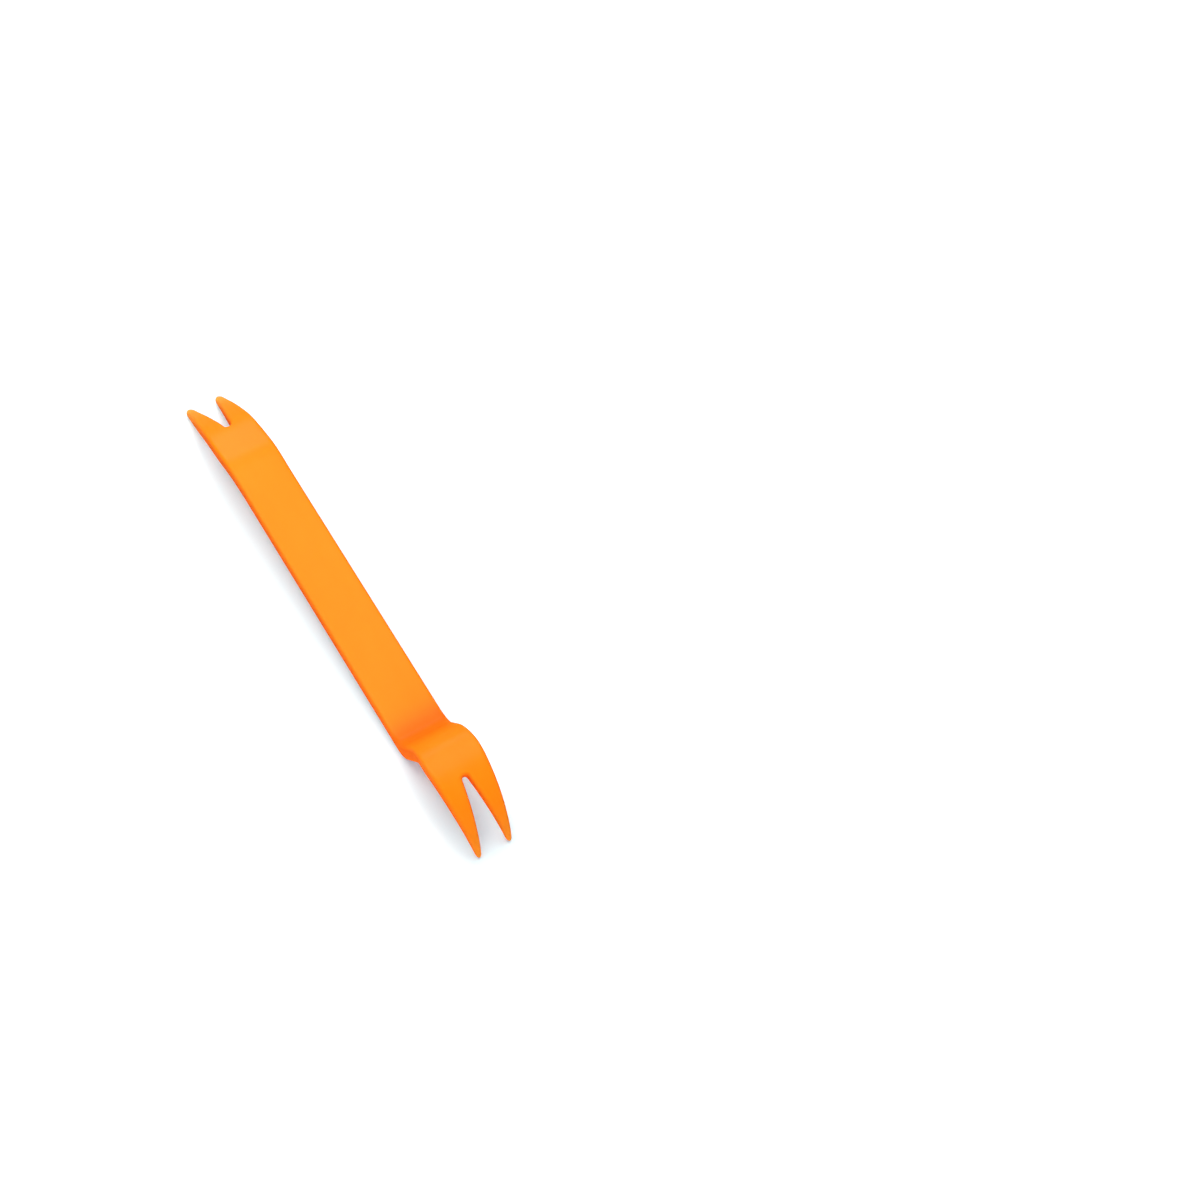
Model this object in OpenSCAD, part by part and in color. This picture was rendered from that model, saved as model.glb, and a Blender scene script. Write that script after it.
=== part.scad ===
// Trim removal tool, moulded in one piece of tough orange plastic.
// A flat strap ends in a flat fork on one side and in a humped claw fork on the other.
// The outline is drawn flat, gets its thickness and its rounded edges, and is bent along a side path.
// The tool lies at rest on the tips of both forks. +X runs from the flat fork to the claw, and +Z is up.
// Angles are in degrees and lengths in millimetres. Bend radii are measured at half thickness.

/* [Strap] */
// Width of the strap
strap_w = 18.5; // [14:0.5:26]
// Thickness of the strap
strap_t = 5.5; // [4:0.1:8]
// Length of the straight stretch between the two ends
strap_len = 112.2; // [60:0.2:180]
// Radius of the rounded edges
edge_r = 1.3; // [0.4:0.1:1.8]

/* [Flat fork bends] */
// Angle of the first bend, where the strap turns down
fork_bend_angle = 20; // [8:1:35]
// Radius of the first bend
fork_bend_r = 30; // [12:0.5:60]
// Flat stretch between the two bends
fork_flat = 11; // [6:0.5:30]
// Angle of the second bend, at the root of the tines
fork_dip_angle = 13; // [4:0.5:25]
// Radius of the second bend
fork_dip_r = 40; // [10:0.5:60]
// Length of the tines past the second bend
fork_tine = 25.5; // [18:0.5:40]
// Radius of the slight downward sweep of the tines
fork_sweep_r = 240; // [100:5:600]

/* [Flat fork outline] */
// Depth of the V notch, along the surface
fork_notch_depth = 30.2; // [15:0.2:40]
// Width of the notch at the tips
fork_notch_w = 8.9; // [5:0.1:11]
// Radius at the root of the notch
fork_root_r = 1; // [0.6:0.1:2]
// Width across the tips, from outer edge to outer edge
fork_tip_w = 14.4; // [13:0.1:18]
// Length over which each tip rounds off
fork_tip_len = 3.2; // [1.8:0.1:4]
// Length from the tips to the shoulder, where the outer edges stop widening
fork_taper = 45; // [30:0.5:60]
// Fullness of the outer edges, where 1 is straight
fork_fullness = 1.85; // [1:0.05:2.4]
// Height of the shoulder over the strap's own edge
fork_shoulder = 0.25; // [0:0.05:1.5]
// Length over which the shoulder runs out into the strap's edge
fork_fade = 18; // [10:1:30]
// Thickness at the tips
fork_tip_t = 2; // [1.6:0.1:4]
// Length over which the tines thin out
fork_thin_len = 38; // [20:1:60]

/* [Claw bends] */
// Radius of the heel, where the strap turns up
heel_r = 5.4; // [4.5:0.1:12]
// Radius of the hollow on top of the heel, between the strap and the neck
hollow_r = 9; // [4:0.5:12]
// Angle of the heel between the strap and the neck
neck_angle = 60.5; // [40:0.5:80]
// Straight length of the neck
neck_len = 13.8; // [6:0.1:24]
// Radius of the hump
hump_r = 12.3; // [8:0.1:20]
// Angle that the hump turns through
hump_angle = 71; // [50:0.5:90]
// Radius of the claw past the hump
claw_r = 29; // [20:0.5:60]
// Angle that the claw turns through
claw_angle = 60.5; // [45:0.5:75]

/* [Claw outline] */
// Depth of the V notch, along the surface
claw_notch_depth = 27.6; // [14:0.2:36]
// Width of the notch at the tips
claw_notch_w = 9.6; // [5:0.1:10]
// Radius at the root of the notch
claw_root_r = 1.3; // [0.6:0.1:2]
// Width across the tips, from outer edge to outer edge
claw_tip_w = 12.6; // [12:0.1:16]
// Length over which each tip rounds off
claw_tip_len = 1.2; // [0.8:0.1:3]
// Length from the tips to the shoulder, where the outer edges stop widening
claw_taper = 34.5; // [24:0.5:44]
// Fullness of the outer edges, where 1 is straight
claw_fullness = 1.3; // [1:0.1:2.4]
// Height of the shoulder over the strap's own edge
claw_shoulder = 0.5; // [0:0.1:1.5]
// Length over which the shoulder runs out into the strap's edge
claw_fade = 10; // [5:0.5:16]
// Thickness at the tips
claw_tip_t = 2.2; // [1.6:0.1:4]
// Length over which the claw thins out
claw_thin_len = 50; // [25:1:60]

/* [Hidden] */

plastic = "#FF9A2A";

// Largest share of the thickness, of half a tine's width and of a tip's own radius that a rounded edge may take
edge_share_t = 0.4;
edge_share_w = 0.6;
edge_share_tip = 0.9;
// Growth of that radius per unit of distance from a tip
edge_growth = 0.12;
// Steps of the rounded edges, notch roots, tine sides and tips, of the shoulders' fading and beside the hollow
edge_steps = 3;
root_steps = 6;
fork_side_steps = 8;
claw_side_steps = 14;
tip_steps = 6;
fade_steps = 2;
hollow_steps = 4;
// Largest angle of one step along a bend, and the least distance between two body stations
bend_step = 6;
station_gap = 0.4;

// Stretches of the side path from the flat fork's tips to the claw's tips: [length, turn]
function arc_len(r, angle) = r * angle * PI / 180;
fork_sweep = fork_tine / fork_sweep_r * 180 / PI;
path_runs = [
    [fork_tine, -fork_sweep],
    [arc_len(fork_dip_r, fork_dip_angle), -fork_dip_angle],
    [fork_flat, 0],
    [arc_len(fork_bend_r, fork_bend_angle), -fork_bend_angle],
    [strap_len, 0],
    [arc_len(heel_r, neck_angle), neck_angle],
    [neck_len, 0],
    [arc_len(hump_r, hump_angle), -hump_angle],
    [arc_len(claw_r, claw_angle), -claw_angle]
];
run_count = len(path_runs);

// A place on the path is [distance, x, z, heading], and the strap has heading 0
function step(from, run) =
    let (turn = run[1],
         chord = turn == 0 ? run[0] : 2 * run[0] / (turn * PI / 180) * sin(turn / 2),
         aim = from[3] + turn / 2)
    [from[0] + run[0], from[1] + chord * cos(aim), from[2] + chord * sin(aim), from[3] + turn];
function walk(i) =
    i == 0 ? [0, 0, 0, fork_sweep + fork_dip_angle + fork_bend_angle] : step(walk(i - 1), path_runs[i - 1]);
path_starts = [for (i = [0:run_count]) walk(i)];
path_len = path_starts[run_count][0];
function run_of(s, i = 0) = i == run_count - 1 || s < path_starts[i + 1][0] ? i : run_of(s, i + 1);
function path_at(s) =
    let (i = run_of(s), from = path_starts[i])
    step(from, path_runs[i] * ((s - from[0]) / path_runs[i][0]));

// Half width of the outer edge at distance e from the tips
function flare(e, tip_w, taper, fullness, shoulder, fade) =
    e < taper
        ? tip_w / 2 + (strap_w / 2 + shoulder - tip_w / 2) * (1 - pow(1 - e / taper, fullness))
        : strap_w / 2 + shoulder * (1 + cos(180 * min(1, (e - taper) / fade))) / 2;
function fork_edge(e) = flare(e, fork_tip_w, fork_taper, fork_fullness, fork_shoulder, fork_fade);
function claw_edge(e) = flare(e, claw_tip_w, claw_taper, claw_fullness, claw_shoulder, claw_fade);
function half_w(s) = fork_edge(s) + claw_edge(path_len - s) - strap_w / 2;

// Half width of a V notch at distance e from the tips: straight sides tangent to a round root
function notch_lean(depth, root_r, mouth) =
    let (centre = depth - root_r)
    atan2(mouth / 2, centre) - asin(root_r / norm([centre, mouth / 2]));
function notch(e, depth, root_r, mouth) =
    let (centre = depth - root_r,
         lean = notch_lean(depth, root_r, mouth),
         tangent = centre + root_r * sin(lean))
    e > tangent
        ? sqrt(max(0, root_r * root_r - (e - centre) * (e - centre)))
        : root_r * cos(lean) + (tangent - e) * tan(lean);
function fork_notch(e) = notch(e, fork_notch_depth, fork_root_r, fork_notch_w);
function claw_notch(e) = notch(e, claw_notch_depth, claw_root_r, claw_notch_w);

// Thickness, which falls smoothly towards the tips of each end
function thinned(e, tip_t, thin_len) = strap_t - (strap_t - tip_t) * pow(max(0, 1 - e / thin_len), 2);
function thickness(s) =
    min(thinned(s, fork_tip_t, fork_thin_len), thinned(path_len - s, claw_tip_t, claw_thin_len));

// Extra height of the top face at the heel, where a hollow rounder than the bend's own inside meets the strap
// and the neck smoothly. Distances here are measured from the bend's middle, and angles from its bisector.
bend_inside = heel_r - strap_t / 2;
hollow_round = max(hollow_r, bend_inside);
hollow_rise = (hollow_round - bend_inside) / cos(neck_angle / 2);
hollow_reach = (hollow_round - bend_inside) * tan(neck_angle / 2);
heel_from = path_starts[5][0];
heel_to = path_starts[6][0];
heel_mid = (heel_from + heel_to) / 2;
function hollow_fill(s) =
    let (off = abs(s - heel_mid) - (heel_to - heel_from) / 2,
         angle = (s - heel_mid) / heel_r * 180 / PI)
    off > hollow_reach ? 0
    : off > 0 ? hollow_round - sqrt(pow(hollow_round, 2) - pow(hollow_reach - off, 2))
    : bend_inside + hollow_rise * cos(angle) - sqrt(pow(hollow_round, 2) - pow(hollow_rise * sin(angle), 2));

// Radius of the rounded edge, which a thin or narrow tine and its tip limit, because a tip is half an ellipse
function tine_w(s) =
    s < fork_notch_depth ? fork_edge(s) - fork_notch(s)
    : path_len - s < claw_notch_depth ? claw_edge(path_len - s) - claw_notch(path_len - s)
    : strap_w;
function tip_edge(tip_w, mouth, tip_len) = edge_share_tip * pow((tip_w - mouth) / 4, 2) / tip_len;
fork_tip_edge = tip_edge(fork_tip_w, fork_notch_w, fork_tip_len);
claw_tip_edge = tip_edge(claw_tip_w, claw_notch_w, claw_tip_len);
function edge_at(s) = min(
    edge_r, edge_share_t * thickness(s), edge_share_w * tine_w(s) / 2,
    fork_tip_edge + edge_growth * s, claw_tip_edge + edge_growth * (path_len - s));

// Stations along a tine from the notch's root to its tip: [inner edge's distance from the tips, outer edge's]
// The outer ones lie across from where the rounded edge of the notch meets the flat face
function tine_stations(depth, root_r, mouth, tip_len, side_steps) =
    let (centre = depth - root_r,
         lean = notch_lean(depth, root_r, mouth),
         tangent = centre + root_r * sin(lean))
    concat(
        [for (i = [0:root_steps])
            let (reach = cos((90 - lean) * i / root_steps))
            [centre + root_r * reach, centre + (root_r + edge_r) * reach]],
        [for (i = [1:side_steps])
            let (e = tangent + (tip_len - tangent) * i / side_steps)
            [e, e + edge_r * sin(lean) * (1 - i / side_steps)]],
        [for (i = [1:tip_steps])
            let (e = tip_len * (1 - sin(90 * i / tip_steps)))
            [e, e]]);
// Share of a tine's width that is left where its tip rounds off
function tip_share(e, tip_len) = e < tip_len ? sqrt(max(0, 1 - pow(1 - e / tip_len, 2))) : 1;
// A tine's stations with both edges: [inner point, outer point], each [distance from the tips, side]
function tine_edge(e, inner, outer, share) =
    let (mid = (inner + outer) / 2, half = (outer - inner) / 2 * share)
    [[e[0], mid - half], [e[1], mid + half]];
fork_tines = [
    for (e = tine_stations(fork_notch_depth, fork_root_r, fork_notch_w, fork_tip_len, fork_side_steps))
        tine_edge(e, fork_notch(e[0]), fork_edge(e[1]), tip_share(e[0], fork_tip_len))];
claw_tines = [
    for (e = tine_stations(claw_notch_depth, claw_root_r, claw_notch_w, claw_tip_len, claw_side_steps))
        tine_edge(e, claw_notch(e[0]), claw_edge(e[1]), tip_share(e[0], claw_tip_len))];

// Stations of the body between the two notches: along the bends, and at the ends of straight stretches
body_from = fork_notch_depth + edge_r + station_gap;
body_to = path_len - claw_notch_depth - edge_r - station_gap;
function run_steps(i) = max(1, ceil(abs(path_runs[i][1]) / bend_step));
function sorted(v) =
    len(v) < 2 ? v : concat(
        sorted([for (i = [1:len(v) - 1]) if (v[i] < v[0]) v[i]]),
        [v[0]],
        sorted([for (i = [1:len(v) - 1]) if (v[i] >= v[0]) v[i]]));
body_marks = sorted(concat(
    [for (i = [0:run_count - 1], j = [1:run_steps(i)]) path_starts[i][0] + path_runs[i][0] * j / run_steps(i)],
    [for (i = [0:fade_steps]) fork_taper + fork_fade * i / fade_steps],
    [for (i = [0:fade_steps]) path_len - claw_taper - claw_fade * i / fade_steps],
    [for (i = [1:hollow_steps]) heel_from - hollow_reach * i / hollow_steps],
    [for (i = [1:hollow_steps]) heel_to + hollow_reach * i / hollow_steps]));
body_stations = concat([body_from], [
    for (i = [1:len(body_marks) - 1])
        let (s = body_marks[i])
        if (s > body_from + station_gap && s < body_to - station_gap && s > body_marks[i - 1] + station_gap) s],
    [body_to]);

// Half of the flat outline, from the flat fork's root round one side to the claw's root: [distance, side]
fork_n = len(fork_tines);
claw_n = len(claw_tines);
body_n = len(body_stations);
function from_claw(p) = [path_len - p[0], p[1]];
half_outline = concat(
    [for (t = fork_tines) t[0]],
    [for (i = [fork_n - 2:-1:0]) fork_tines[i][1]],
    [for (s = body_stations) [s, half_w(s)]],
    [for (t = claw_tines) from_claw(t[1])],
    [for (i = [claw_n - 2:-1:0]) from_claw(claw_tines[i][0])]);
half_n = len(half_outline);
outline = concat(half_outline, [for (i = [half_n - 2:-1:1]) [half_outline[i][0], -half_outline[i][1]]]);
outline_n = len(outline);

// Directions from each outline point into the material
function inward(i) =
    let (along = outline[(i + 1) % outline_n] - outline[(i + outline_n - 1) % outline_n])
    [along[1], -along[0]] / norm(along);

// A point of the flat shape, carried to the bent one
function bent(s, side, height) =
    let (at = path_at(s))
    [at[1] - height * sin(at[3]), side, at[2] + height * cos(at[3])];

// Rings of points round the tool, from the top face over the rounded edges to the underside
edge_turns = [for (i = [0:edge_steps]) 90 - 90 * i / edge_steps];
function ring(turn, up) = [
    for (i = [0:outline_n - 1])
        let (r = edge_at(outline[i][0]),
             place = outline[i] + inward(i) * r * (1 - cos(turn)))
        bent(place[0], place[1],
            up * (thickness(place[0]) / 2 - r * (1 - sin(turn))) + (up > 0 ? hollow_fill(place[0]) : 0))];
tool_rings = concat(
    [for (turn = edge_turns) ring(turn, 1)],
    [for (i = [edge_steps:-1:0]) ring(edge_turns[i], -1)]);
ring_n = len(tool_rings);
tool_points = [for (r = tool_rings, p = r) p];

// Faces of one flat side as strips across the tool, numbered by outline point and clockwise from above
function fork_out(i) = 2 * fork_n - 2 - i;
function body_at(i) = 2 * fork_n - 1 + i;
function claw_out(i) = 2 * fork_n - 1 + body_n + i;
function claw_in(i) = half_n - 1 - i;
function other(i) = (outline_n - i) % outline_n;
function mirrored(face) = [for (i = [len(face) - 1:-1:0]) other(face[i])];
tine_faces = concat(
    [for (i = [0:fork_n - 3]) [i, i + 1, fork_out(i + 1), fork_out(i)]],
    [[fork_n - 2, fork_n - 1, fork_out(fork_n - 2)]],
    [for (i = [0:claw_n - 3]) [claw_out(i), claw_out(i + 1), claw_in(i + 1), claw_in(i)]],
    [[claw_out(claw_n - 2), claw_out(claw_n - 1), claw_in(claw_n - 2)]],
    [[0, fork_out(0), body_at(0)], [claw_in(0), body_at(body_n - 1), claw_out(0)]]);
middle_faces = concat(
    [[0, body_at(0), other(body_at(0))], [claw_in(0), other(body_at(body_n - 1)), body_at(body_n - 1)]],
    [for (i = [0:body_n - 2]) [body_at(i), body_at(i + 1), other(body_at(i + 1)), other(body_at(i))]]);
flat_faces = concat(tine_faces, [for (f = tine_faces) mirrored(f)], middle_faces);
under_first = (ring_n - 1) * outline_n;
tool_faces = concat(
    flat_faces,
    [for (f = flat_faces) [for (i = [len(f) - 1:-1:0]) under_first + f[i]]],
    [for (k = [0:ring_n - 2], i = [0:outline_n - 1])
        let (a = k * outline_n, next = (i + 1) % outline_n)
        [a + i, a + outline_n + i, a + outline_n + next, a + next]]);

// Rest on a floor: the tilt about Y at which the lowest points of both forks are level, found in a few rounds
tilt_rounds = 6;
function height_at(p, tilt) = p[2] * cos(tilt) - p[0] * sin(tilt);
function lowest(points, tilt) =
    let (heights = [for (p = points) height_at(p, tilt)])
    points[search(min(heights), heights)[0]];
fork_points = [for (p = tool_points) if (p[0] < path_at(fork_tine)[1]) p];
claw_points = [for (p = tool_points) if (p[0] > path_starts[run_count - 1][1]) p];
function rest_tilt(tilt, rounds) =
    let (d = lowest(claw_points, tilt) - lowest(fork_points, tilt))
    rounds < 1 ? tilt : rest_tilt(atan2(d[2], d[0]), rounds - 1);
tilt = rest_tilt(0, tilt_rounds);
floor_z = height_at(lowest(fork_points, tilt), tilt);
rest_x = [for (p = tool_points) p[0] * cos(tilt) + p[2] * sin(tilt)];
centre_x = (min(rest_x) + max(rest_x)) / 2;

module trim_tool() {
    color(plastic)
        translate([-centre_x, 0, -floor_z])
            rotate([0, tilt, 0])
                polyhedron(points = tool_points, faces = tool_faces, convexity = 8);
}

trim_tool();
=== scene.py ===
import math

import bmesh
import bpy
import numpy as np
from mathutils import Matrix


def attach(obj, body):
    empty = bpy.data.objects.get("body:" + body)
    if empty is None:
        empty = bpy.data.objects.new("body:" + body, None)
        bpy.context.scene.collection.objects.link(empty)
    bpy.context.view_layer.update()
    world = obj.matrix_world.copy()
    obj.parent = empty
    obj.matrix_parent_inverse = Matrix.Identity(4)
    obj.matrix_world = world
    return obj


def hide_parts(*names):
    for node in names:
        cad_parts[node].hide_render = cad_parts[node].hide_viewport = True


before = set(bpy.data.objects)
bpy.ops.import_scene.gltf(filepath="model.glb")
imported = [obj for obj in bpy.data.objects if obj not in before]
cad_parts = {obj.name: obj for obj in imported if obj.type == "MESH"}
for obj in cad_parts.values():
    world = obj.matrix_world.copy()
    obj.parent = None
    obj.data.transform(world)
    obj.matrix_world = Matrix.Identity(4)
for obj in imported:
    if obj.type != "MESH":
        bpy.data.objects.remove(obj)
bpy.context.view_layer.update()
print("frame loaded:", ", ".join(sorted(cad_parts)))

millimetre = 0.001
scene = bpy.context.scene
scene.view_settings.view_transform = "Standard"

# The moulded tool in millimetres and degrees, from the flat fork's tips to the claw's tips
mouldedTool = {
    "strapW": 18.5, "strapT": 5.5, "strapLen": 112.2, "edgeR": 1.3,
    "forkBendAngle": 20.0, "forkBendR": 30.0, "forkFlat": 11.0,
    "forkDipAngle": 13.0, "forkDipR": 40.0, "forkTine": 25.5, "forkSweepR": 240.0,
    "forkNotchDepth": 30.2, "forkNotchW": 8.9, "forkRootR": 1.0, "forkTipW": 14.4, "forkTipLen": 3.2,
    "forkTaper": 45.0, "forkFullness": 1.85, "forkShoulder": 0.25, "forkFade": 18.0,
    "forkTipT": 2.0, "forkThinLen": 38.0,
    "heelR": 5.4, "hollowR": 9.0, "neckAngle": 60.5, "neckLen": 13.8, "humpR": 12.3, "humpAngle": 71.0,
    "clawR": 29.0, "clawAngle": 60.5,
    "clawNotchDepth": 27.6, "clawNotchW": 9.6, "clawRootR": 1.05, "clawTipW": 12.6, "clawTipLen": 1.2,
    "clawTaper": 34.5, "clawFullness": 1.3, "clawShoulder": 0.5, "clawFade": 10.0,
    "clawTipT": 2.2, "clawThinLen": 50.0,
    "edgeShareT": 0.4, "edgeShareW": 0.6, "edgeShareTip": 0.9, "edgeGrowth": 0.12,
    # Lean of the sides, and the mould's parting line on them
    "draft": 1.2, "seamRise": 0.05, "seamHalf": 0.22, "seamShareT": 0.5, "seamCrest": (0.35, 0.15),
}
meshSteps = {
    "root": 14, "forkSide": 34, "clawSide": 40, "tip": 14, "bend": 2.0, "straight": 1.6, "edge": 8,
    "gap": 0.4, "flat": (0.0, 0.03, 0.15, 0.3, 0.45, 0.6, 0.75, 0.88, 0.97, 1.0), "tiltRounds": 8,
}
stretches = ("forkTine", "forkDip", "forkFlat", "forkBend", "strap", "heel", "neck", "hump", "claw")


# The nine stretches in the middle of the thickness, each a line or an arc with its length and its turn.
# An arc's chord is its length times sin(turn / 2) / (turn / 2), aimed halfway through the turn.
def makePath(t):
    sweep = t["forkTine"] / t["forkSweepR"]
    angles = [t["forkDipAngle"], t["forkBendAngle"], t["neckAngle"], t["humpAngle"], t["clawAngle"]]
    bends = np.radians(angles)
    radii = np.array([t["forkDipR"], t["forkBendR"], t["heelR"], t["humpR"], t["clawR"]])
    dip, bend, heel, hump, claw = bends
    dipLen, bendLen, heelLen, humpLen, clawLen = bends * radii
    lengths = np.array([t["forkTine"], dipLen, t["forkFlat"], bendLen, t["strapLen"],
                        heelLen, t["neckLen"], humpLen, clawLen])
    turns = np.array([-sweep, -dip, 0.0, -bend, 0.0, heel, 0.0, -hump, -claw])
    start = np.concatenate([[0.0], np.cumsum(lengths)])
    heading = sweep + dip + bend + np.concatenate([[0.0], np.cumsum(turns)])
    chord = lengths * np.sinc(turns / math.tau)
    aim = heading[:-1] + turns / 2
    x = np.concatenate([[0.0], np.cumsum(chord * np.cos(aim))])
    z = np.concatenate([[0.0], np.cumsum(chord * np.sin(aim))])
    return {"lengths": lengths, "turns": turns, "start": start, "heading": heading, "x": x, "z": z,
            "at": dict(zip(stretches, start)), "whole": start[-1]}


def pathAt(path, s):
    run = np.clip(np.searchsorted(path["start"], s, side="right") - 1, 0, len(path["lengths"]) - 1)
    along = s - path["start"][run]
    turn = path["turns"][run] * along / path["lengths"][run]
    chord = along * np.sinc(turn / math.tau)
    aim = path["heading"][run] + turn / 2
    x = path["x"][run] + chord * np.cos(aim)
    z = path["z"][run] + chord * np.sin(aim)
    return x, z, path["heading"][run] + turn


# Outer edge: the tip's half width grows to the shoulder by 1 - (1 - share) ** fullness, and the shoulder
# fades into the strap along half a cosine wave.
def outerEdge(t, end, e):
    half = t["strapW"] / 2
    tip = t[end + "TipW"] / 2
    share = np.clip(e / t[end + "Taper"], 0, 1)
    fade = np.clip((e - t[end + "Taper"]) / t[end + "Fade"], 0, 1)
    rising = tip + (half + t[end + "Shoulder"] - tip) * (1 - (1 - share) ** t[end + "Fullness"])
    fading = half + t[end + "Shoulder"] * (1 + np.cos(math.pi * fade)) / 2
    return np.where(e < t[end + "Taper"], rising, fading)


# V notch: straight sides tangent to a round root
def notchForm(t, end):
    radius = t[end + "RootR"]
    centre = t[end + "NotchDepth"] - radius
    mouth = t[end + "NotchW"] / 2
    lean = math.atan2(mouth, centre) - math.asin(radius / math.hypot(centre, mouth))
    return radius, centre, lean, centre + radius * math.sin(lean)


def notchEdge(t, end, e):
    radius, centre, lean, tangent = notchForm(t, end)
    rounded = np.sqrt(np.clip(radius ** 2 - (e - centre) ** 2, 0, None))
    straight = radius * math.cos(lean) + (tangent - e) * math.tan(lean)
    return np.where(e > tangent, rounded, straight)


# Thickness falls towards each tip with the square of the distance that is left
def thicknessAt(t, whole, s):
    def thinned(end, e):
        left = np.clip(1 - e / t[end + "ThinLen"], 0, None)
        return t["strapT"] - (t["strapT"] - t[end + "TipT"]) * left ** 2
    return np.minimum(thinned("fork", s), thinned("claw", whole - s))


# Edge radius: the moulded radius, limited by thickness, by the tine's width and by the tip's own roundness
def edgeAt(t, whole, s):
    def tipEdge(end):
        half = (t[end + "TipW"] - t[end + "NotchW"]) / 4
        return t["edgeShareTip"] * half ** 2 / t[end + "TipLen"]

    def tineW(end, e):
        inTine = e < t[end + "NotchDepth"]
        return np.where(inTine, outerEdge(t, end, e) - notchEdge(t, end, e), t["strapW"])
    back = whole - s
    limits = [t["edgeShareT"] * thicknessAt(t, whole, s),
              t["edgeShareW"] * np.minimum(tineW("fork", s), tineW("claw", back)) / 2,
              tipEdge("fork") + t["edgeGrowth"] * s, tipEdge("claw") + t["edgeGrowth"] * back]
    return np.minimum(t["edgeR"], np.min(limits, axis=0))


# Extra height of the top face over the heel: a circle, rounder than the bend, tangent to strap and neck
def hollowFill(t, path, s):
    half = math.radians(t["neckAngle"]) / 2
    inside = t["heelR"] - t["strapT"] / 2
    more = t["hollowR"] - inside
    middle = (path["at"]["heel"] + path["at"]["neck"]) / 2
    off = np.abs(s - middle) - t["heelR"] * half
    angle = np.clip((s - middle) / t["heelR"], -half, half)
    beside = t["hollowR"] - np.sqrt(t["hollowR"] ** 2 - np.clip(more * math.tan(half) - off, 0, more) ** 2)
    rise = more / math.cos(half)
    within = inside + rise * np.cos(angle) - np.sqrt(t["hollowR"] ** 2 - (rise * np.sin(angle)) ** 2)
    return np.where(off > 0, beside, within)


# A tine's stations from the notch's root to its tip, as inner and outer edge points.
# The outer ones lie across from where the notch's rounded edge meets the flat face.
def tineStations(t, n, end):
    radius, centre, lean, tangent = notchForm(t, end)
    tipLen = t[end + "TipLen"]
    reach = np.cos((math.pi / 2 - lean) * np.linspace(0, 1, n["root"] + 1))
    share = np.linspace(0, 1, n[end + "Side"] + 1)[1:]
    side = tangent + (tipLen - tangent) * share
    tip = tipLen * (1 - np.sin(np.linspace(0, math.pi / 2, n["tip"] + 1)[1:]))
    inS = np.concatenate([centre + radius * reach, side, tip])
    outS = np.concatenate([centre + (radius + t["edgeR"]) * reach,
                           side + t["edgeR"] * math.sin(lean) * (1 - share), tip])
    inV = notchEdge(t, end, inS)
    outV = outerEdge(t, end, outS)
    left = np.where(inS < tipLen, np.sqrt(np.clip(1 - (1 - inS / tipLen) ** 2, 0, None)), 1)
    middle = (inV + outV) / 2
    half = (outV - inV) / 2 * left
    return inS, outS, middle - half, middle + half


# Stations along the body: short steps in the bends, longer ones on straight stretches
def bodyStations(t, n, path):
    bendSteps = np.abs(np.degrees(path["turns"])) / n["bend"]
    steps = np.ceil(np.maximum(bendSteps, path["lengths"] / n["straight"]))
    runs = zip(path["start"], path["lengths"], steps)
    marks = np.concatenate([a + size * np.arange(1, k + 1) / k for a, size, k in runs])
    first = t["forkNotchDepth"] + t["edgeR"] + n["gap"]
    last = path["whole"] - t["clawNotchDepth"] - t["edgeR"] - n["gap"]
    inside = (marks > first + n["gap"]) & (marks < last - n["gap"])
    return np.concatenate([[first], marks[inside], [last]])


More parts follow.
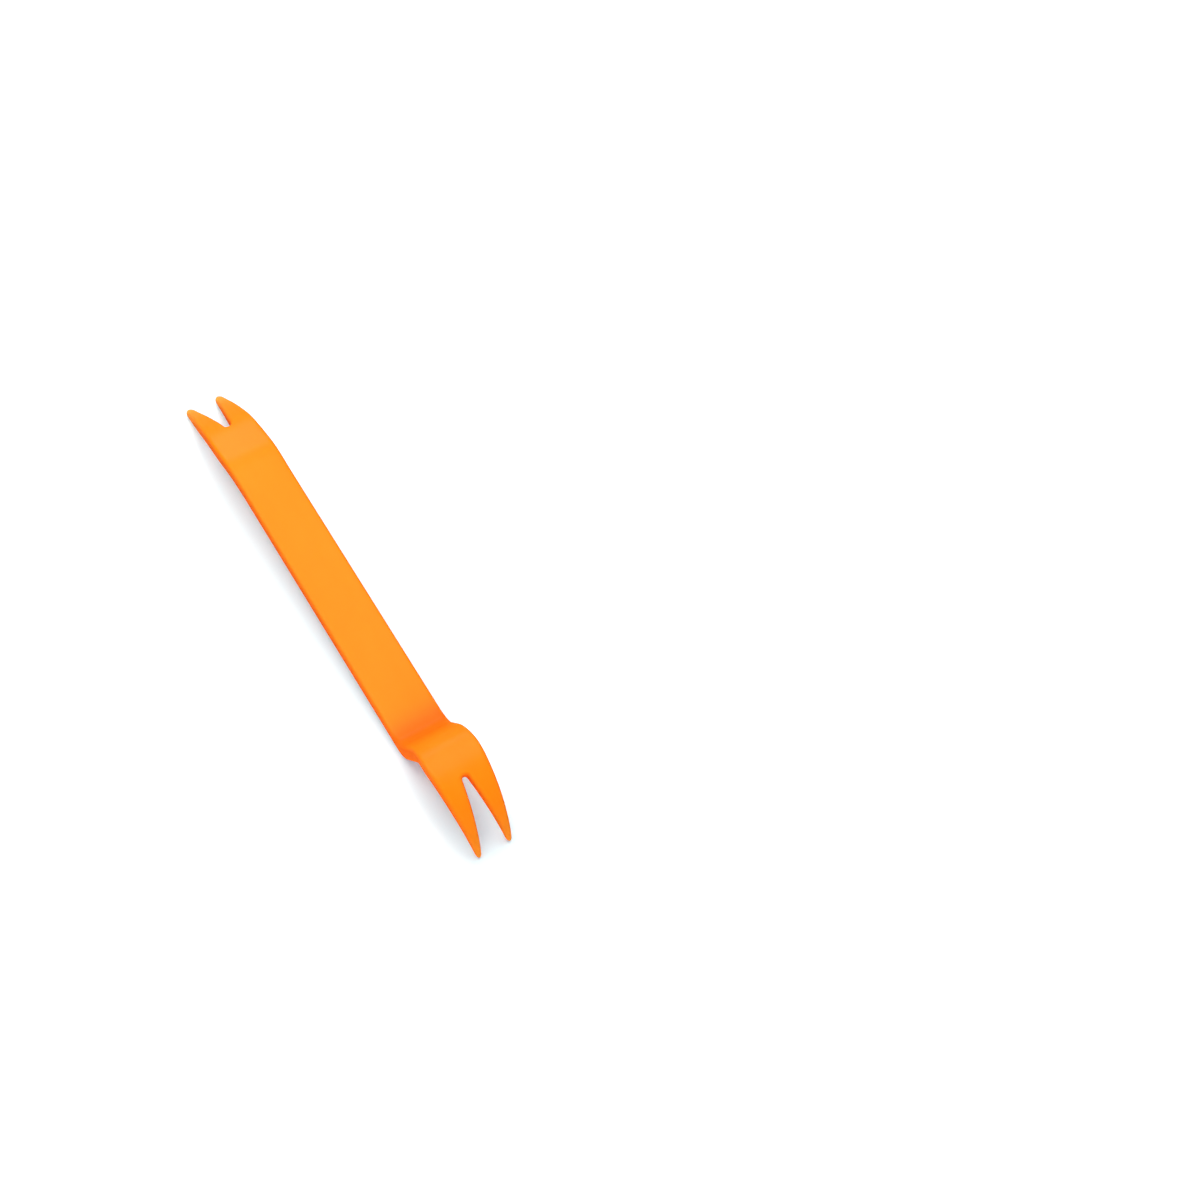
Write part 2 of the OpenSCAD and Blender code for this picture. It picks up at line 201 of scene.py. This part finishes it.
# The tool as surfaces of two parameters. The band runs round the closed outline, and from the top face over
# the rounded edge, down the side and under. Each half of a flat face runs along the tool and from its middle
# outwards.
def toolSurfaces(t, n):
    path = makePath(t)
    whole = path["whole"]
    forkIn, forkOut, forkInV, forkOutV = tineStations(t, n, "fork")
    clawIn, clawOut, clawInV, clawOutV = tineStations(t, n, "claw")
    body = bodyStations(t, n, path)
    bodyV = outerEdge(t, "fork", body) + outerEdge(t, "claw", whole - body) - t["strapW"] / 2

    # Half of the outline from one notch's root to the other's, and then its mirror image
    halfS = np.concatenate([forkIn, forkOut[-2::-1], body, whole - clawOut, (whole - clawIn)[-2::-1]])
    halfV = np.concatenate([forkInV, forkOutV[-2::-1], bodyV, clawOutV, clawInV[-2::-1]])
    outS = np.concatenate([halfS, halfS[-2:0:-1]])
    outV = np.concatenate([halfV, -halfV[-2:0:-1]])

    # Direction from each outline point into the material
    alongS = np.roll(outS, -1) - np.roll(outS, 1)
    alongV = np.roll(outV, -1) - np.roll(outV, 1)
    size = np.hypot(alongS, alongV)
    inwardS, inwardV = alongV / size, -alongS / size

    # The side leans in by the draft angle on both sides of the parting line, which stands a little proud
    radius = edgeAt(t, whole, outS)
    sideHalf = thicknessAt(t, whole, outS) / 2 - radius
    lean = math.tan(math.radians(t["draft"]))
    seam = np.minimum(t["seamHalf"], t["seamShareT"] * sideHalf)
    rise = t["seamRise"] * seam / t["seamHalf"]
    foot = rise + lean * sideHalf

    def place(s, v, height):
        x, z, heading = pathAt(path, s)
        return np.stack([x - height * np.sin(heading), v, z + height * np.cos(heading)], axis=-1)

    def faceHeight(s, up):
        return up * thicknessAt(t, whole, s) / 2 + (hollowFill(t, path, s) if up > 0 else 0)

    def edgeRow(angle, up):
        inset = foot + radius * (1 - math.cos(angle))
        s = outS + inwardS * inset
        return place(s, outV + inwardV * inset, faceHeight(s, up) - up * radius * (1 - math.sin(angle)))

    def sideRow(share, inset):
        return place(outS + inwardS * inset, outV + inwardV * inset, share * seam)
    turns = np.linspace(math.pi / 2, 0, n["edge"] + 1)
    crest, fall = t["seamCrest"]
    seamFoot = rise + lean * seam
    ridge = [(1, seamFoot), (crest, fall * rise), (0, 0), (-crest, fall * rise), (-1, seamFoot)]
    band = np.array([edgeRow(a, 1) for a in turns] + [sideRow(*r) for r in ridge]
                    + [edgeRow(a, -1) for a in turns[::-1]])

    # Inner and outer rim of half a flat face, in order from the fork's tip to the claw's tip
    rimS = outS + inwardS * (foot + radius)
    rimV = outV + inwardV * (foot + radius)
    forkN, bodyN, clawN, halfN = len(forkIn), len(body), len(clawIn), len(halfS)
    forkIds, clawIds = np.arange(forkN), np.arange(clawN)
    bodyIds = 2 * forkN - 1 + np.arange(bodyN)
    outer = np.concatenate([2 * forkN - 2 - forkIds[::-1], bodyIds, 2 * forkN - 1 + bodyN + clawIds])
    innerS = np.concatenate([rimS[forkIds[::-1]], rimS[bodyIds], rimS[halfN - 1 - clawIds]])
    innerV = np.concatenate([rimV[forkIds[::-1]], 0 * body, rimV[halfN - 1 - clawIds]])
    across = np.array(n["flat"])
    s = innerS[:, None] + (rimS[outer] - innerS)[:, None] * across
    v = innerV[:, None] + (rimV[outer] - innerV)[:, None] * across
    flats = [place(s, side * v, faceHeight(s, up)) for up in (1, -1) for side in (1, -1)]
    parts = [band] + flats

    # At rest the lowest points of both forks are level, which a few rounds of tilting find
    points = np.concatenate([p.reshape(-1, 3) for p in parts])
    forkPoints = points[points[:, 0] < path["x"][stretches.index("forkDip")]]
    clawPoints = points[points[:, 0] > path["x"][stretches.index("claw")]]
    tilt = 0.0
    for _ in range(n["tiltRounds"]):
        upward = np.array([-math.sin(tilt), 0, math.cos(tilt)])
        lowFork = forkPoints[np.argmin(forkPoints @ upward)]
        lowClaw = clawPoints[np.argmin(clawPoints @ upward)]
        step = lowClaw - lowFork
        tilt = math.atan2(step[2], step[0])
    x = points[:, 0] * math.cos(tilt) + points[:, 2] * math.sin(tilt)
    z = points[:, 2] * math.cos(tilt) - points[:, 0] * math.sin(tilt)
    points = np.stack([x - (x.min() + x.max()) / 2, points[:, 1], z - z.min()], axis=-1)

    # Faces of all grids, and for each point its distance from the fork's tips and how far it is on a side
    bandN = band.shape[0] * band.shape[1]
    faces = [gridFaces(*band.shape[:2], True)]
    first = bandN
    for flat in flats:
        faces.append(first + gridFaces(*flat.shape[:2], False))
        first += flat.shape[0] * flat.shape[1]
    fromFork = np.concatenate([np.tile(outS, len(band))] + [s.ravel()] * len(flats))
    rowSide = np.concatenate([np.cos(turns) ** 2, np.ones(len(ridge)), np.cos(turns[::-1]) ** 2])
    onSide = np.concatenate([np.repeat(rowSide, len(outS)), np.zeros(len(fromFork) - bandN)])
    return points, np.concatenate(faces), fromFork, onSide, path


def gridFaces(rowN, colN, closed):
    row, col = np.meshgrid(np.arange(rowN - 1), np.arange(colN if closed else colN - 1), indexing="ij")
    after = (col + 1) % colN
    corners = [row * colN + col, (row + 1) * colN + col, (row + 1) * colN + after, row * colN + after]
    return np.stack(corners, axis=-1).reshape(-1, 4)


# Points of neighbouring surfaces that lie closer than this become one, and shorter edges go, in metres
meshJoin = {"points": 2e-6, "edges": 1e-7}


def makePiece(name, points, faces, attributes):
    mesh = bpy.data.meshes.new(name)
    mesh.from_pydata(points.tolist(), [], faces.tolist())
    for label, values in attributes.items():
        layer = mesh.attributes.new(label, "FLOAT", "POINT")
        layer.data.foreach_set("value", np.ascontiguousarray(values, dtype=np.float32).ravel())
    shape = bmesh.new()
    shape.from_mesh(mesh)
    bmesh.ops.remove_doubles(shape, verts=shape.verts, dist=meshJoin["points"])
    bmesh.ops.dissolve_degenerate(shape, edges=shape.edges, dist=meshJoin["edges"])
    bmesh.ops.recalc_face_normals(shape, faces=shape.faces)
    shape.to_mesh(mesh)
    shape.free()
    mesh.shade_smooth()
    piece = bpy.data.objects.new(name, mesh)
    scene.collection.objects.link(piece)
    return piece


toolPoints, toolFaces, fromFork, onSide, toolPath = toolSurfaces(mouldedTool, meshSteps)
runStart = toolPath["at"]

# Colours painted into the plastic: painted light makes it paler towards the thin tips, where light would pass
# through them, and over the hump; painted shade makes it deeper in the heel's hollow and on the sides. The
# coat is duller from the heel to the hump, where no hand rubs it. The tips' painted light falls by e to the
# minus distance, the hump's painted light and the heel's painted shade as bell curves, and the dull stretch
# has an S curve at each end.
plasticTone = {"forkFade": 8.0, "clawFade": 6.0, "clawLightShare": 0.27, "humpLightShare": 0.06, "humpLightFade": 7.0,
               "hollowShadeShare": 0.74, "hollowShadeFade": (6.0, 18.0), "sideShadeShare": 0.8,
               "gloss": 0.043, "dullShare": 0.5, "dullFrom": -1.3, "dullTo": 7.8, "dullFade": 1.3}
fromHump = fromFork - (runStart["hump"] + runStart["claw"]) / 2
paintedLight = (np.exp(-fromFork / plasticTone["forkFade"])
           + plasticTone["clawLightShare"] * np.exp((fromFork - toolPath["whole"]) / plasticTone["clawFade"])
           + plasticTone["humpLightShare"] * np.exp(-(fromHump / plasticTone["humpLightFade"]) ** 2))
fromHeel = fromFork - runStart["heel"]
hollowShadeFade = np.where(fromHeel < 0, *plasticTone["hollowShadeFade"])
paintedShade = np.maximum(plasticTone["hollowShadeShare"] * np.exp(-(fromHeel / hollowShadeFade) ** 2),
                      plasticTone["sideShadeShare"] * onSide)
pastHeel = (fromHeel - plasticTone["dullFrom"]) / plasticTone["dullFade"]
pastHump = (fromFork - runStart["hump"] - plasticTone["dullTo"]) / plasticTone["dullFade"]
dull = plasticTone["dullShare"] / ((1 + np.exp(-pastHeel)) * (1 + np.exp(pastHump)))
toolPiece = makePiece("pry_tool", toolPoints * millimetre, toolFaces, {
    "paintedLight": paintedLight, "paintedShade": paintedShade, "gloss": plasticTone["gloss"] * (1 - dull)})
print("tool moulded:", len(toolPiece.data.polygons), "faces")

# Satin orange plastic: a little light passes through it, red furthest
orangePlastic = {
    "body": (1.0, 0.228, 0.0045), "pale": (1.0, 0.246, 0.0075),
    # The tip colour is painted light for the thin tips and the hump, and the next colour is painted shade for
    # the heel's hollow and the sides
    "tip": (1.0, 0.40, 0.075), "shadeTone": (0.97, 0.12, 0.007),
    "roughness": (0.5, 0.62), "coatRoughness": 0.33, "coatBend": 1.9,
    "scatter": 0.15, "scatterRadius": (1.0, 0.4, 0.2), "scatterScale": 0.001,
    "flow": (14.0, 60.0, 60.0), "mottle": {"Scale": 1.0, "Detail": 3.0, "Roughness": 0.55},
    "mottleRange": (0.35, 0.75),
    "smudge": {"Scale": 90.0, "Detail": 4.0, "Roughness": 0.6}, "smudgeRange": (0.3, 0.7),
    "grain": {"Scale": 2600.0, "Detail": 2.0, "Roughness": 0.6},
    "grainBump": {"Strength": 0.12, "Distance": 0.00006},
}


def addNode(tree, kind, place, inputs=None, **settings):
    node = tree.nodes.new(kind)
    node.location = place
    for key, value in settings.items():
        setattr(node, key, value)
    for key, value in (inputs or {}).items():
        node.inputs[key].default_value = value
    return node


def makeOrangePlastic(look):
    material = bpy.data.materials.new("orange_plastic")
    material.use_nodes = True
    tree = material.node_tree
    tree.nodes.clear()
    link = tree.links.new
    output = addNode(tree, "ShaderNodeOutputMaterial", (900, 0))
    shader = addNode(tree, "ShaderNodeBsdfPrincipled", (600, 0), {
        "Specular IOR Level": 0.0, "Coat Roughness": look["coatRoughness"], "Coat IOR": look["coatBend"],
        "Subsurface Weight": look["scatter"], "Subsurface Radius": look["scatterRadius"],
        "Subsurface Scale": look["scatterScale"]})
    link(shader.outputs["BSDF"], output.inputs["Surface"])
    shine = addNode(tree, "ShaderNodeAttribute", (300, -200), attribute_name="gloss")
    link(shine.outputs["Fac"], shader.inputs["Coat Weight"])
    where = addNode(tree, "ShaderNodeTexCoord", (-1200, 0))

    # Slow mottling of the pigment, stretched along the flow from end to end
    flow = addNode(tree, "ShaderNodeMapping", (-1000, 200), {"Scale": look["flow"]})
    mottle = addNode(tree, "ShaderNodeTexNoise", (-800, 200), look["mottle"])
    ramp = addNode(tree, "ShaderNodeValToRGB", (-600, 200))
    for stop, at, tone in zip(ramp.color_ramp.elements, look["mottleRange"], ("body", "pale")):
        stop.position = at
        stop.color = (*look[tone], 1.0)
    link(where.outputs["Object"], flow.inputs["Vector"])
    link(flow.outputs["Vector"], mottle.inputs["Vector"])
    link(mottle.outputs["Fac"], ramp.inputs["Fac"])

    # Painted shade deepens the heel's hollow and the sides, and painted light makes the thin tips and the
    # hump paler
    colour = ramp.outputs["Color"]
    for across, label, tone in ((-300, "paintedShade", "shadeTone"), (0, "paintedLight", "tip")):
        share = addNode(tree, "ShaderNodeAttribute", (across, 500), attribute_name=label)
        toned = addNode(tree, "ShaderNodeMix", (across + 200, 250), data_type="RGBA")
        toned.inputs["B"].default_value = (*look[tone], 1.0)
        link(share.outputs["Fac"], toned.inputs["Factor"])
        link(colour, toned.inputs["A"])
        colour = toned.outputs["Result"]
    link(colour, shader.inputs["Base Color"])

    # Gloss varies softly
    smudge = addNode(tree, "ShaderNodeTexNoise", (-800, -100), look["smudge"])
    gloss = addNode(tree, "ShaderNodeMapRange", (-400, -100), {
        "From Min": look["smudgeRange"][0], "From Max": look["smudgeRange"][1],
        "To Min": look["roughness"][0], "To Max": look["roughness"][1]})
    link(where.outputs["Object"], smudge.inputs["Vector"])
    link(smudge.outputs["Fac"], gloss.inputs["Value"])
    link(gloss.outputs["Result"], shader.inputs["Roughness"])

    # Fine grain of the spark-eroded mould
    grain = addNode(tree, "ShaderNodeTexNoise", (-800, -400), look["grain"])
    bump = addNode(tree, "ShaderNodeBump", (-400, -400), look["grainBump"])
    link(where.outputs["Object"], grain.inputs["Vector"])
    link(grain.outputs["Fac"], bump.inputs["Height"])
    link(bump.outputs["Normal"], shader.inputs["Normal"])
    return material


toolPiece.data.materials.append(makeOrangePlastic(orangePlastic))
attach(toolPiece, "root")
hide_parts("trim_tool")
print("plastic done")

# White floor: it takes the tool's shadow, and a glow for camera, glossy and transmission rays makes it white.
# In an ellipse under the tool the glow is weak and cool, which evens out the orange light that falls there.
studioFloor = {
    "half": 3.0, "cells": 8, "colour": (0.82, 0.86, 0.82, 1.0), "ellipse": (0.11, 0.0135), "ring": (1.0, 2.1),
    "innerGlow": (0.02, 0.185, 0.275, 1.0), "outerGlow": (0.8, 0.8, 0.8, 1.0),
}


def makeFloorMaterial(look):
    material = bpy.data.materials.new("studio_white")
    material.use_nodes = True
    tree = material.node_tree
    tree.nodes.clear()
    link = tree.links.new
    output = addNode(tree, "ShaderNodeOutputMaterial", (800, 0))
    plain = addNode(tree, "ShaderNodeBsdfDiffuse", (0, 100), {"Color": look["colour"]})
    where = addNode(tree, "ShaderNodeTexCoord", (-1000, -200))
    sizes = addNode(tree, "ShaderNodeMapping", (-800, -200), {
        "Scale": (1 / look["ellipse"][0], 1 / look["ellipse"][1], 0.0)})
    away = addNode(tree, "ShaderNodeVectorMath", (-600, -200), operation="LENGTH")
    grow = addNode(tree, "ShaderNodeMapRange", (-400, -200), {
        "From Min": look["ring"][0], "From Max": look["ring"][1]}, interpolation_type="SMOOTHSTEP")
    tint = addNode(tree, "ShaderNodeMix", (-200, -150), data_type="RGBA")
    tint.inputs["A"].default_value = look["innerGlow"]
    tint.inputs["B"].default_value = look["outerGlow"]
    glow = addNode(tree, "ShaderNodeEmission", (0, -100))
    link(where.outputs["Object"], sizes.inputs["Vector"])
    link(sizes.outputs["Vector"], away.inputs[0])
    link(away.outputs["Value"], grow.inputs["Value"])
    link(grow.outputs["Result"], tint.inputs["Factor"])
    link(tint.outputs["Result"], glow.inputs["Color"])
    lit = addNode(tree, "ShaderNodeAddShader", (250, -50))
    choose = addNode(tree, "ShaderNodeMixShader", (550, 0))
    link(plain.outputs["BSDF"], lit.inputs[0])
    link(glow.outputs["Emission"], lit.inputs[1])
    link(seenRays(tree), choose.inputs["Fac"])
    link(plain.outputs["BSDF"], choose.inputs[1])
    link(lit.outputs["Shader"], choose.inputs[2])
    link(choose.outputs["Shader"], output.inputs["Surface"])
    return material


# 1 for camera, glossy and transmission rays, else 0
def seenRays(tree):
    rays = addNode(tree, "ShaderNodeLightPath", (-600, 300))
    first = addNode(tree, "ShaderNodeMath", (-300, 350), operation="MAXIMUM")
    second = addNode(tree, "ShaderNodeMath", (-100, 300), operation="MAXIMUM")
    tree.links.new(rays.outputs["Is Camera Ray"], first.inputs[0])
    tree.links.new(rays.outputs["Is Glossy Ray"], first.inputs[1])
    tree.links.new(first.outputs["Value"], second.inputs[0])
    tree.links.new(rays.outputs["Is Transmission Ray"], second.inputs[1])
    return second.outputs["Value"]


def makeFloor(look):
    line = np.linspace(-look["half"], look["half"], look["cells"] + 1)
    x, y = np.meshgrid(line, line, indexing="ij")
    points = np.stack([x, y, 0 * x], axis=-1).reshape(-1, 3)
    floor = makePiece("studio_floor", points, gridFaces(len(line), len(line), False), {})
    floor.data.materials.append(makeFloorMaterial(look))


makeFloor(studioFloor)
print("floor laid")

# A large round softbox overhead, a wide soft light in front of the claw, and a faint even surround.
# A small card stands low beside the claw and brightens the left side of the claw and the heel.
# Two weak lights give only gloss: one low behind the fork, and one on the left for the rounded edges.
studioLight = {
    "overhead": {"place": (-0.21, 0.10, 0.72), "tip": 0.0, "across": 0.9, "power": 8.75},
    "card": {"place": (0.078, -0.075, 0.01), "tip": 90.0, "across": 0.016, "power": 0.0078, "seen": False},
    "front": {"from": (0.85, -0.38, 0.36), "width": 60.0, "strength": 1.62, "glossy": False},
    "back": {"from": (-0.86, 0.16, 0.48), "width": 10.0, "strength": 0.78, "diffuse": False},
    "left": {"from": (-0.34, -0.52, 0.75), "width": 36.0, "strength": 1.4, "diffuse": False},
    "surround": 0.08, "background": 1.0, "white": (1.0, 1.0, 1.0, 1.0),
}


def addSoftbox(name, look):
    lamp = bpy.data.lights.new(name, "AREA")
    lamp.shape = "DISK"
    lamp.size = look["across"]
    lamp.energy = look["power"]
    item = bpy.data.objects.new(name, lamp)
    item.location = look["place"]
    item.rotation_euler = (math.radians(look["tip"]), 0, 0)
    item.visible_camera = look.get("seen", True)
    item.visible_glossy = look.get("seen", True)
    scene.collection.objects.link(item)


def addSun(name, look):
    lamp = bpy.data.lights.new(name, "SUN")
    lamp.energy = look["strength"]
    lamp.angle = math.radians(look["width"])
    item = bpy.data.objects.new(name, lamp)
    way = np.array(look["from"]) / np.linalg.norm(look["from"])
    item.rotation_euler = (math.acos(way[2]), 0, math.atan2(way[0], -way[1]))
    item.visible_diffuse = look.get("diffuse", True)
    item.visible_glossy = look.get("glossy", True)
    scene.collection.objects.link(item)


def makeSurround(look):
    world = bpy.data.worlds.new("studio")
    world.use_nodes = True
    tree = world.node_tree
    tree.nodes.clear()
    output = addNode(tree, "ShaderNodeOutputWorld", (600, 0))
    around = addNode(tree, "ShaderNodeBackground", (0, 100), {
        "Color": look["white"], "Strength": look["surround"]})
    behind = addNode(tree, "ShaderNodeBackground", (0, -100), {
        "Color": look["white"], "Strength": look["background"]})
    choose = addNode(tree, "ShaderNodeMixShader", (300, 0))
    tree.links.new(seenRays(tree), choose.inputs["Fac"])
    tree.links.new(around.outputs["Background"], choose.inputs[1])
    tree.links.new(behind.outputs["Background"], choose.inputs[2])
    tree.links.new(choose.outputs["Shader"], output.inputs["Surface"])
    scene.world = world


addSoftbox("overhead_softbox", studioLight["overhead"])
addSoftbox("side_card", studioLight["card"])
for side in ("front", "back", "left"):
    addSun(side + "_softbox", studioLight[side])
makeSurround(studioLight)
print("studio lit")

# Camera: 33 degrees off straight down, over the claw's side of the tool
studioCamera = {"place": (0.36091, -0.12022, 0.5771), "tip": 33.0, "turn": 58.034,
                "lens": 60.264, "sensor": 36.0}
lens = bpy.data.cameras.new("studio_camera")
lens.lens = studioCamera["lens"]
lens.sensor_width = studioCamera["sensor"]
camera = bpy.data.objects.new("studio_camera", lens)
camera.location = studioCamera["place"]
camera.rotation_euler = (math.radians(studioCamera["tip"]), 0, math.radians(studioCamera["turn"]))
scene.collection.objects.link(camera)
scene.camera = camera
